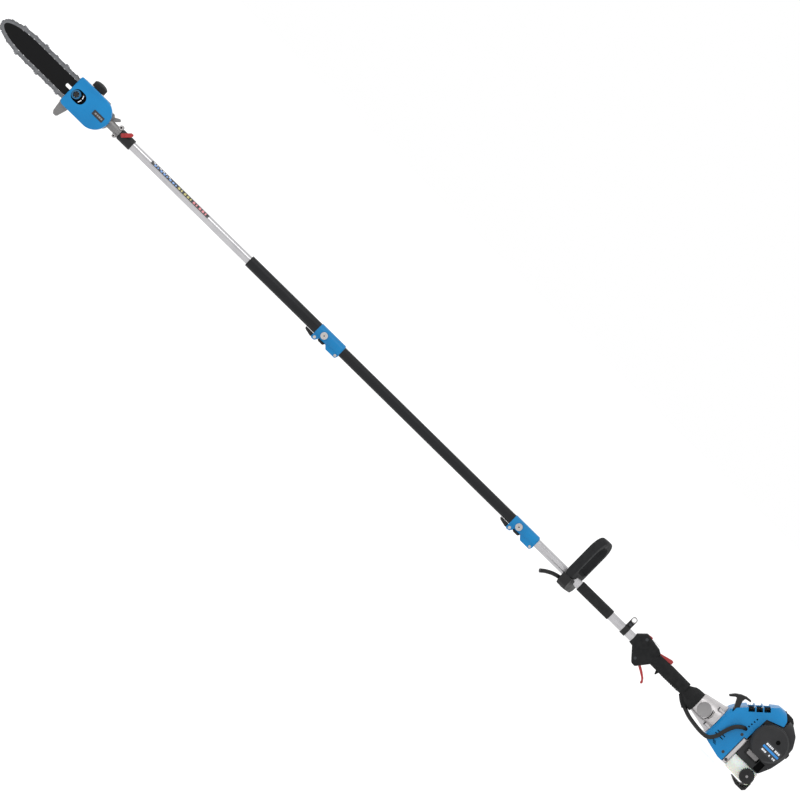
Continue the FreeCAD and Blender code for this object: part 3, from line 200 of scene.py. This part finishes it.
M = {
    "blue": plastic("blue_gloss_plastic", "067cb8", "0472ac", (0.3, 0.44), 1.2, 0.03,
                    Coat_Weight=0.06, Coat_Roughness=0.2, Specular_IOR_Level=0.25),
    "blue_cast": plastic("blue_painted_casting", "067ab4", "036ea6", (0.3, 0.44), 1.6, 0.07,
                         Coat_Weight=0.06, Coat_Roughness=0.25, Specular_IOR_Level=0.25),
    "black": plastic("black_plastic", "1c1c1d", "131314", (0.42, 0.6), 0.8, 0.08,
                     Specular_IOR_Level=0.3),
    "grip": rubber("grip_overmould", "18191a", "101112", 1.7, 0.12, 5.0),
    "soft": rubber("loop_soft_cover", "202123", "151617", 1.1, 0.10),
    "foam": rubber("foam_sleeve", "212223", "151617", 0.8, 0.18),
    "dark": plastic("dark_grey_plastic", "2b2b2d", "202122", (0.4, 0.58), 1.0, 0.08,
                    Specular_IOR_Level=0.25),
    "hose": plastic("hose_plastic", "1b1b1c", "121213", (0.35, 0.5), 2.0, 0.06,
                    Specular_IOR_Level=0.3),
    "red": plastic("red_plastic", "a80e14", "8c090e", (0.25, 0.4), 1.2, 0.03, Coat_Weight=0.2),
    "tank": clear_tank("milky_tank"),
    "tube": metal("clear_anodised_tube", "bcbbbd", "97969a", (0.2, 0.3), (0.02, 1, 1), 1.5,
                  0.015, 0.9),
    "black_tube": metal("black_anodised_tube", "1d1e20", "141517", (0.38, 0.5), (0.02, 1, 1),
                        1.8, 0.015, 0.1, Specular_IOR_Level=0.2),
    "steel": metal("bright_steel", "bfbcba", "85838a", (0.22, 0.4), (1, 1, 0.2), 1.2, 0.02),
    "dark_steel": metal("blackened_steel", "3c3e41", "242527", (0.3, 0.45), (1, 1, 0.3), 1.6,
                        0.03, 0.8),
    "chain": metal("chain_steel", "7c7d80", "3a3b3d", (0.25, 0.42), (1, 1, 1), 2.5, 0.05),
    "bar": metal("black_bar_paint", "101011", "0b0b0c", (0.42, 0.56), (0.05, 1, 1), 2.4, 0.02,
                 0.0, Specular_IOR_Level=0.12),
    "cast": cast("die_cast_aluminium", "969493", "6f6e6d"),
    "bright_cast": cast("bright_cast_aluminium", "d3d0d0", "b0adae", (0.3, 0.5)),
    "paper": rubber("filter_felt", "8c8578", "6b6558", 2.4, 0.4),
}
FINISH = {
    "lower_tube": "tube", "upper_tube": "tube", "middle_tube": "black_tube",
    "sleeve_tube": "black_tube", "loop_handle": "soft", "loop_bracket": "black",
    "foam_grip": "foam", "harness_clamp": "black", "handle_shell_left": "grip",
    "handle_shell_right": "grip", "machine_screws": "dark_steel", "cable_conduit": "hose",
    "throttle_trigger": "red", "lockout_lever": "red", "kill_switch": "red",
    "clutch_housing": "bright_cast", "clutch_drum": "steel", "clutch_shoes": "steel",
    "crankshaft": "steel", "flywheel": "cast", "crankcase": "bright_cast", "cylinder": "cast",
    "piston_set": "cast", "fan_shroud": "blue", "rear_cover": "dark", "filter_cover": "dark",
    "air_filter": "paper", "carburettor": "cast", "muffler": "dark_steel",
    "fuel_tank": "tank", "middle_clamp": "blue_cast", "sleeve_clamp": "blue_cast",
    "middle_clamp_bolts": "steel", "front_screws": "steel", "gear_case": "cast",
    "side_cover": "blue", "latch_lever": "red", "drive_shaft_lower": "steel",
    "drive_shaft_middle": "steel", "drive_shaft_front": "steel", "sprocket_gear": "steel",
    "shaft_bearings": "steel", "guide_bar": "bar", "saw_chain": "chain",
}
for name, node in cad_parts.items():
    finish = M[FINISH.get(name, "black")]
    if not node.material_slots:
        node.data.materials.append(finish)
    for held in node.material_slots:
        held.link = "OBJECT"
        held.material = finish

# ------------------------------------------------------------------ shape helpers


def piece(name, build, body, finish, round_edge=0.3, segments=2):
    """Mesh piece made by build(bm) in millimetres, with softened edges, riding on a body."""
    bm = bmesh.new()
    build(bm)
    bmesh.ops.recalc_face_normals(bm, faces=bm.faces)
    bmesh.ops.scale(bm, vec=(MM, MM, MM), verts=bm.verts)
    bmesh.ops.translate(bm, vec=(0, 0, AXIS), verts=bm.verts)
    mesh = bpy.data.meshes.new(name)
    bm.to_mesh(mesh)
    bm.free()
    obj = bpy.data.objects.new(name, mesh)
    bpy.context.scene.collection.objects.link(obj)
    obj.data.materials.append(M[finish])
    if round_edge:
        bevel = obj.modifiers.new("Soft edges", "BEVEL")
        bevel.width = round_edge * MM
        bevel.segments = segments
        bevel.limit_method = "ANGLE"
        bevel.angle_limit = SOFT_ANGLE
        bevel.harden_normals = True
    mesh.shade_smooth()
    mesh.set_sharp_from_angle(angle=SMOOTH_ANGLE)
    if body:
        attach(obj, body)
    return obj


def prism(bm, points, low, high, plane="XZ", turn=None):
    """Flat outline pushed from low to high across its plane."""
    order = {"XZ": lambda a, b, c: (a, c, b), "XY": lambda a, b, c: (a, b, c),
             "YZ": lambda a, b, c: (c, a, b)}[plane]
    rings = []
    for level in (low, high):
        spots = [Vector(order(a, b, level)) for a, b in points]
        rings.append([bm.verts.new(turn @ p if turn else p) for p in spots])
    bm.faces.new(rings[0])
    bm.faces.new(rings[1][::-1])
    for i in range(len(points)):
        j = (i + 1) % len(points)
        bm.faces.new((rings[0][i], rings[0][j], rings[1][j], rings[1][i]))


def rounded(x0, z0, x1, z1, r, steps=6):
    """Rounded rectangle outline."""
    points = []
    for cx, cz, start in ((x1 - r, z1 - r, 0), (x0 + r, z1 - r, 90), (x0 + r, z0 + r, 180),
                          (x1 - r, z0 + r, 270)):
        for k in range(steps + 1):
            turn = math.radians(start + 90 * k / steps)
            points.append((cx + r * math.cos(turn), cz + r * math.sin(turn)))
    return points


def circle(cx, cz, r, steps=40, start=0.0, stop=360.0):
    """Outline of a circle, or of an arc from start to stop degrees."""
    return [(cx + r * math.cos(math.radians(start + (stop - start) * k / steps)),
             cz + r * math.sin(math.radians(start + (stop - start) * k / steps)))
            for k in range(steps + (stop - start < 360))]


def band(cx, cz, inner, outer, start, stop, steps=20):
    """Arc-shaped strip outline."""
    return circle(cx, cz, outer, steps, start, stop) + circle(cx, cz, inner, steps, start,
                                                              stop)[::-1]


def hoop(bm, centre, axis, radius, thick, around=48, across=12):
    """Torus round a point."""
    turn = Vector((0, 0, 1)).rotation_difference(Vector(axis)).to_matrix()
    rings = []
    for i in range(around):
        a = 2 * math.pi * i / around
        row = []
        for j in range(across):
            b = 2 * math.pi * j / across
            reach = radius + thick * math.cos(b)
            spot = Vector((reach * math.cos(a), reach * math.sin(a), thick * math.sin(b)))
            row.append(bm.verts.new(Vector(centre) + turn @ spot))
        rings.append(row)
    for i in range(around):
        for j in range(across):
            k, m = (i + 1) % around, (j + 1) % across
            bm.faces.new((rings[i][j], rings[k][j], rings[k][m], rings[i][m]))


def tube(bm, points, radius, across=16):
    """Round tube along points, closed at its ends."""
    spots = [Vector(p) for p in points]
    rows = []
    for i, spot in enumerate(spots):
        ahead = spots[min(i + 1, len(spots) - 1)] - spots[max(i - 1, 0)]
        turn = ahead.to_track_quat("Z", "Y").to_matrix()
        rows.append([bm.verts.new(spot + turn @ Vector((radius * math.cos(b), radius
                                                         * math.sin(b), 0)))
                     for b in [2 * math.pi * j / across for j in range(across)]])
    for low, high in zip(rows, rows[1:]):
        for j in range(across):
            m = (j + 1) % across
            bm.faces.new((low[j], low[m], high[m], high[j]))
    bm.faces.new(rows[0])
    bm.faces.new(rows[-1][::-1])


def wrap(bm, x0, x1, radius, thick, start, stop, steps=14):
    """Thin shell on a tube about the pole axis; angles in degrees from +Y towards +Z."""
    outline = band(0, 0, radius, radius + thick, start, stop, steps)
    prism(bm, outline, x0, x1, "YZ")


M["badge"] = plastic("badge_ink", "10141a", "0a0c10", (0.25, 0.4), 1.0, 0.02, Coat_Weight=0.3)
# White for print, and also for the painted highlight on the chain tension screw head.
M["print_white_and_highlight"] = plastic("white_print_and_highlight", "e9ebee", "cfd3d8", (0.4, 0.5), 1.0, 0.02)
M["print_blue"] = plastic("blue_print", "1c84cf", "1476bd", (0.35, 0.5), 1.0, 0.02)
M["print_yellow"] = plastic("yellow_print", "c4bb78", "a8a064", (0.35, 0.5), 1.0, 0.02)
M["print_red"] = plastic("red_print", "dd8f93", "c97a80", (0.35, 0.5), 1.0, 0.02)
M["print_pale_blue"] = plastic("pale_blue_print", "7fa4da", "6a90c8", (0.35, 0.5), 1.0, 0.02)
M["teal"] = plastic("nut_guard_plastic", "0f5a80", "0b4865", (0.3, 0.45), 1.2, 0.03)
# Painted shade: flat unlit black put into holes, sockets, gaps and openings where there is only
# shade.
M["painted_shade"] = plastic("painted_shade_plastic", "0a0a0b", "050506", (0.7, 0.85), 1.2, 0.05,
                    Specular_IOR_Level=0.06)
M["rope"] = rubber("braided_rope", "d9d6cc", "8e8a80", 0.7, 0.2)
M["panel"] = plastic("light_grey_panel", "8f8d8d", "787677", (0.4, 0.55), 1.0, 0.06)

# ------------------------------------------------------------------ saw chain

chain_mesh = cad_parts["saw_chain"].data
bar_low, bar_high = (Vector(corner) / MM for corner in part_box("guide_bar"))
TIP_RADIUS = 30.0  # turn of the bar's nose
CUTTER_HEIGHT = 10.5  # links taller than this are cutters
CORE_GAP = 8  # links closer than this to the bar's middle line get no hump
HUMP_HALF = 0.6  # half the thickness of a hump


def links():
    """Corner points of every chain link, one list per loose part, in millimetres."""
    group = list(range(len(chain_mesh.vertices)))

    def root(i):
        while group[i] != i:
            group[i] = group[group[i]]
            i = group[i]
        return i

    for edge in chain_mesh.edges:
        a, b = (root(i) for i in edge.vertices)
        group[max(a, b)] = min(a, b)
    found = {}
    for vertex in chain_mesh.vertices:
        found.setdefault(root(vertex.index), []).append(vertex.co / MM)
    return [found[key] for key in sorted(found)]


def chain_guards(bm):
    """Bumper humps of the links between the cutters, standing out from the bar."""
    plane, level = (bar_low.y + bar_high.y) / 2, (bar_low.z + bar_high.z) / 2
    for points in links():
        middle = sum(points, Vector()) / len(points)
        if middle.y > plane + 0.5:
            continue
        core = Vector((max(middle.x, bar_low.x + TIP_RADIUS), 0, level))
        out = Vector((middle.x, 0, middle.z)) - core
        out.normalize()
        along = Vector((-out.z, 0, out.x))
        reach = [(p - middle).dot(out) for p in points]
        low, high = min(reach), max(reach)
        if high - low > CUTTER_HEIGHT or (core - middle).length < CORE_GAP:
            continue
        hump = [(-2.7, low + 0.4), (2.7, low + 0.4), (2.3, high - 0.8), (0.9, high + 1.7),
                (-1.2, high + 1.7), (-2.5, high - 0.8)]
        flat = [middle + along * a + out * b for a, b in hump]
        prism(bm, [(p.x, p.z - AXIS / MM) for p in flat], middle.y - HUMP_HALF,
              middle.y + HUMP_HALF)


piece("chain_guards", chain_guards, "front_stage", "chain", 0.15)

# ------------------------------------------------------------------ saw head

NUT = (-1213, -5.5)  # bar nut

piece("cover_badge", lambda bm: prism(bm, rounded(-1145.6, -13.6, -1107.4, 1.6, 1.8), -41.8,
                                      -40.9), "front_stage", "badge")


def badge_marks(bm):
    """Plain raised bars in place of the badge's lettering."""
    for x, width, z in ((-1139, 6, -8), (-1131, 4.5, -8), (-1125, 7, -8), (-1116.5, 5, -8)):
        prism(bm, rounded(x, z, x + width, z + 4.6, 0.8, 3), -42.1, -41.7)


piece("cover_badge_marks", badge_marks, "front_stage", "panel", 0.1)
piece("nut_guard", lambda bm: prism(bm, band(*NUT, 9.4, 13.3, 0, 359.99, 48), -41.6,
                                    -40.6), "front_stage", "teal")


def adjuster(bm):
    """Painted highlights: the light on the chain tension screw head, drawn as two white
    crescents in the window.
    """
    prism(bm, band(*NUT, 20, 22.6, 5, 34, 12), -37, -35.4)
    prism(bm, band(*NUT, 20, 22.6, -34, -5, 12), -37, -35.4)


piece("tension_screw_highlights", adjuster, "front_stage", "print_white_and_highlight", 0.2)
# Painted shade: a black sheet behind the saw head window, where there is only shade.
piece("window_shade_sheet", lambda bm: prism(bm, rounded(-1228, -25, -1178, 14, 18, 10), -31.4,
                                      -30.2), "front_stage", "painted_shade")


def neck_sockets(bm):
    """Painted shade: black discs standing for the shade in the hex sockets of the neck screws.
    """
    prism(bm, circle(-1060, 15, 3.4, 6), -11.9, -11.5)
    prism(bm, circle(-1061, -16.5, 2.8, 6), -11.9, -11.5)


piece("neck_socket_shade", neck_sockets, "front_stage", "painted_shade", 0)
piece("bar_nut_cap", lambda bm: prism(bm, circle(*NUT, 8.4, 6), -39.4, -36.6), "front_stage",
      "black", 0.7, 3)
piece("latch_pin_cap", lambda bm: prism(bm, circle(-1041, 4, 3.8, 28), -25.6, -24.8), "latch",
      "red", 0.3)
piece("pole_label", lambda bm: wrap(bm, -933, -711, 13.02, 0.18, 118, 168), "front_stage",
      "badge", 0.05)


def marks(first, count, low, high):
    """Row of plain patches on the pole label, in place of its ruler figures."""
    width, pitch, short = 7.0, 11.6, 0.6

    def build(bm):
        for k in range(count):
            x = first + k * pitch
            wrap(bm, x, x + width * (short if k % 3 == 1 else 1), 13.2, 0.12, low, high, 6)
    return build


piece("pole_marks_white", marks(-927, 6, 124, 136), "front_stage", "print_white_and_highlight", 0)
piece("pole_marks_blue", marks(-921, 8, 137, 160), "front_stage", "print_pale_blue", 0)
piece("pole_marks_yellow", marks(-829, 5, 130, 160), "front_stage", "print_yellow", 0)
piece("pole_marks_red", marks(-771, 5, 128, 160), "front_stage", "print_red", 0)

# ------------------------------------------------------------------ clamps

# stage, front end of its clamp, radius of its barrel, and how much lower its lever pin is
CLAMPS = (("middle_stage", 489, 17.3, 0.0), ("front_stage", -274, 19, 1.7))

for stage, x0, own, drop in CLAMPS:
    name = stage.split("_")[0]
    bolt = (x0 + 27, -2.4)

    def clamp_face(bm, x0=x0, own=own, drop=drop, bolt=bolt):
        """Bright washer with its raised nut, and the two pin ends."""
        prism(bm, circle(*bolt, 10.3, 40), -own - 3.5, -own - 2.9)
        prism(bm, circle(*bolt, 5.6, 6), -own - 5.6, -own - 3.4)
        prism(bm, circle(x0 + 9, -22.2 - drop, 4.4, 28), -14.1, -13.5)
        prism(bm, circle(x0 + 86.5, -21, 4.0, 28), -14.1, -13.5)

    piece(name + "_clamp_washer", clamp_face, stage, "steel", 0.25)
    # Painted shade: a black disc for the shade in the hex socket of the clamp nut.
    piece(name + "_clamp_socket_shade", lambda bm, own=own, bolt=bolt: prism(
        bm, circle(*bolt, 2.2, 6), -own - 5.75, -own - 5.5), stage, "painted_shade", 0)
    piece(name + "_clamp_liner",
          lambda bm, x0=x0, own=own, drop=drop: prism(
              bm, [(x0 + 20.5, -own + 0.6), (x0 + 20.5, -21 - drop), (x0 + 24, -23.5 - drop),
                   (x0 + 40, -23.5 - drop), (x0 + 43.5, -19.4), (x0 + 43.5, -own + 0.6)],
              -8, 8), stage, "black", 0.8, 3)

# ------------------------------------------------------------------ harness eye and handle

for side, y in (("left", -5.2), ("right", 5.2)):
    piece("harness_eye_rim_" + side, lambda bm, y=y: hoop(bm, (930.3, y, 37), (0, 1, 0), 7.2,
                                                           0.8), "power_unit", "steel", 0)


def grip_ribs(bm):
    """Raised cross ribs on the underside of the rear grip."""
    for k in range(9):
        x = 1092 + 7 * k
        prism(bm, band(0, 0, 20.6, 21.6, 215, 325, 16), x, x + 2.6, "YZ")


piece("grip_ribs", grip_ribs, "power_unit", "grip", 0.4)
# Painted shade: a black line for the shade in the gap where the two handle shells meet.
piece("shell_seam_shade", lambda bm: prism(bm, rounded(988, 33.4, 1034, 34.2, 0.3, 2), -0.25, 0.25),
      "power_unit", "painted_shade", 0)


# ------------------------------------------------------------------ clutch housing

for side, y, out in (("left", -46.2, -1), ("right", 38.2, 1)):
    piece("housing_boss_" + side, lambda bm, y=y: prism(
        bm, circle(1241, -2, 20.2, 56), y - 0.2, y + 0.5), "power_unit", "panel", 0.2)
    # Painted shade: a thin black arc standing for shade beside each boss of the clutch housing.
    piece("housing_arc_shade_" + side, lambda bm, y=y, out=out: prism(
        bm, band(1236, -2, 27.4, 29.8, -38, 34, 18), y - 0.6 * (out < 0), y + 0.6),
        "power_unit", "painted_shade", 0.2)

# ------------------------------------------------------------------ engine

FUEL_CAP = (1453, -51)
FILTER_COVER = (1434, 59)
SLOPE = Matrix.Translation((1330, 0, 81)) @ Matrix.Rotation(math.radians(-41.2), 4, "Y")


def louvres(bm):
    """Painted shade: black slats and strips set into the windows of the sloping shroud top."""
    for k in range(3):
        for low, high in ((2.3, 57 - 4 * k), (-57 + 4 * k, -2.3)):
            for slat in range(3):
                x = 0.6 + 22 * k + 5.8 * slat
                points = [(x, 3.5), (x + 5.0, 7.6), (x + 5.0, 9.2), (x, 5.1)]
                prism(bm, points, low, high, turn=SLOPE)
            prism(bm, [(0.4 + 22 * k, 2.0), (18.1 + 22 * k, 2.0), (18.1 + 22 * k, 3.2),
                       (0.4 + 22 * k, 3.2)], low, high, turn=SLOPE)


piece("shroud_louvres", louvres, "power_unit", "painted_shade", 0.25)


def filter_label(bm):
    """Ground of the label on the filter cover."""
    prism(bm, rounded(1421, 28.4, 1478, 62.6, 2, 4), -95.16, -94.98)


def print_blocks(rows):
    """Plain blocks on that label, in place of its print: left, foot, width, height."""
    def build(bm):
        for x, z, width, high in rows:
            prism(bm, rounded(x, z, x + width, z + high, 0.5, 3), -95.26, -95.1)
    return build


piece("engine_label", filter_label, "power_unit", "badge", 0)
piece("engine_label_band", print_blocks([(1421.5, 42.2, 56, 6.6)]), "power_unit",
      "print_blue", 0)
piece("engine_label_marks", print_blocks(
    [(1425, 52.6, 5, 5.6), (1431, 52.6, 3.4, 5.6), (1435.6, 52.6, 5, 5.6), (1442, 52.6, 4, 5.6),
     (1447, 52.6, 3, 5.6), (1456, 52.6, 6, 5.6), (1463.4, 52.6, 4, 5.6), (1468.6, 52.6, 5, 5.6),
     (1425, 32.6, 6, 5), (1432, 32.6, 3, 5), (1436, 32.6, 5, 5), (1452, 32.6, 4, 5),
     (1464, 32.6, 3.4, 5), (1469, 32.6, 5, 5)]), "power_unit", "print_white_and_highlight", 0)
piece("intake_panel", lambda bm: prism(bm, rounded(1404, -7.6, 1443, 8.6, 2.4), -61.2,
                                       -57.6), "power_unit", "panel", 0.6, 3)


def intake_mouth_shade(bm):
    """Painted shade: a black patch for the shade in the recess round the primer bulb, open
    towards the fuel cap.
    """
    prism(bm, [(1444, -25.6), (1468, -25.6), (1477, -12), (1477, 4), (1471, 9), (1448, 9),
               (1444, 3)], -58.9, -57.3)


piece("intake_mouth_shade", intake_mouth_shade, "power_unit", "painted_shade", 0.5)


def cover_lip(bm):
    """Step that runs round the filter cover where it meets the shroud."""
    prism(bm, band(*FILTER_COVER, 52.4, 53.9, 96, 252, 44), -87.8, -84.6)


# Painted shade: a black disc for the shade in the hole in the filter cover.
piece("filter_cover_hole_shade", lambda bm: prism(bm, circle(1447, 78, 6.3, 32), -93.6, -92.6),
      "power_unit", "painted_shade", 0.3)
piece("filter_cover_lip", cover_lip, "power_unit", "dark", 0.4)
piece("tank_seam", lambda bm: prism(bm, rounded(1387.0, -50.6, 1474.1, -49.6, 0.4, 2), -55.2,
                                    -54.6), "power_unit", "tank", 0.2)
piece("cap_centre_left", lambda bm: prism(bm, circle(*FUEL_CAP, 3.8, 32), -76.6, -75.6),
      "fuel_cap_body", "panel", 0.3)


def cap_ribs(bm):
    """Moulded spokes on the face of the fuel cap."""
    centre = Matrix.Translation((FUEL_CAP[0], 0, FUEL_CAP[1]))
    for k in range(6):
        turn = centre @ Matrix.Rotation(math.radians(60 * k), 4, "Y")
        prism(bm, [(7, -1), (16.5, -1), (16.5, 1), (7, 1)], -76.5, -75.6, turn=turn)


piece("fuel_cap_ribs", cap_ribs, "fuel_cap_body", "black", 0.3)

piece("plug_lead_cap", lambda bm: prism(
    bm, [(1421, 138), (1424, 148.6), (1431, 152.6), (1440, 151.4), (1450, 144.6), (1456, 135.4),
         (1448, 134), (1430, 134)], -9, 9), "power_unit", "black", 2.4, 4)

HOLE = Vector((1316, -48, 30))  # where the rope leaves the shroud
PULL = Vector((-0.38462, 0, 0.92308))  # way it is pulled


def starter_rope(bm):
    """Rope between its hole and the handle, in rings that spread out as it is pulled."""
    tube(bm, [HOLE + PULL * (12 + 0.7 * k) for k in range(22)], 1.9, 14)


rope = piece("starter_rope", starter_rope, None, "rope", 0)
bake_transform(rope)

# ------------------------------------------------------------------ stage, light, camera

WHITE = (1, 1, 1, 1)
floor_mesh = bpy.data.meshes.new("floor")
floor_mesh.from_pydata([(-60, -40, 0), (60, -40, 0), (60, 120, 0), (-60, 120, 0)], [],
                       [(0, 1, 2, 3)])
floor = bpy.data.objects.new("floor", floor_mesh)
bpy.context.scene.collection.objects.link(floor)
pale = Nodes("pale_floor")
floor.data.materials.append(pale.done(
    pale.mix(pale.spread(pale.noise(900), 0, 1), rgb("858585"), rgb("7d7d7e")),
    pale.spread(pale.noise(400), 0.85, 0.95), pale.bump(pale.noise(3), 0.01, 0.1),
    Specular_IOR_Level=0.1, Emission_Color=WHITE, Emission_Strength=0.9))

world = bpy.data.worlds.new("studio")
world.use_nodes = True
sky = world.node_tree.nodes["Background"]
sky.inputs["Color"].default_value = WHITE
sky.inputs["Strength"].default_value = 1.0
bpy.context.scene.world = world
bpy.context.scene.view_settings.view_transform = "Standard"


def softbox(name, at, toward, size, power):
    """Rectangular lamp of a given size at one point, facing another."""
    light = bpy.data.lights.new(name, "AREA")
    light.shape = "RECTANGLE"
    light.size, light.size_y = size
    light.energy = power
    lamp = bpy.data.objects.new(name, light)
    bpy.context.scene.collection.objects.link(lamp)
    lamp.location = at
    lamp.rotation_euler = (Vector(toward) - Vector(at)).to_track_quat("-Z", "Y").to_euler()


softbox("key", (-1.5, -2.2, 3.8), (0, 0, 0.1), (4.5, 1.2), 50)
softbox("fill", (2.2, -3.6, 1.2), (0.6, 0, 0.1), (3.0, 1.2), 4)
softbox("rim", (0.5, 2.6, 2.6), (0, 0, 0.1), (5.0, 1.0), 5)

# The photo looks along +Y, a little down, and is rolled so that the pole falls to the right.
ELEVATION = math.radians(2.5)
ROLL = math.radians(44.478)
SPAN = 2.24  # width of the picture at the pole, metres
LENS, SENSOR = 200, 36
AIM = Vector((0.0296, 0, 0.1075))
forward = Vector((0, math.cos(ELEVATION), -math.sin(ELEVATION)))
rise = Vector((0, math.sin(ELEVATION), math.cos(ELEVATION)))
right = Vector((1, 0, 0)) * math.cos(ROLL) + rise * math.sin(ROLL)
up = rise * math.cos(ROLL) - Vector((1, 0, 0)) * math.sin(ROLL)
turn = Matrix((right, up, -forward)).transposed().to_4x4()
lens = bpy.data.cameras.new("camera")
lens.lens = LENS
lens.sensor_width = SENSOR
lens.clip_end = 400
lens.dof.use_dof = False
camera = bpy.data.objects.new("camera", lens)
bpy.context.scene.collection.objects.link(camera)
distance = SPAN * LENS / SENSOR
camera.matrix_world = Matrix.Translation(AIM - forward * distance) @ turn
bpy.context.scene.camera = camera
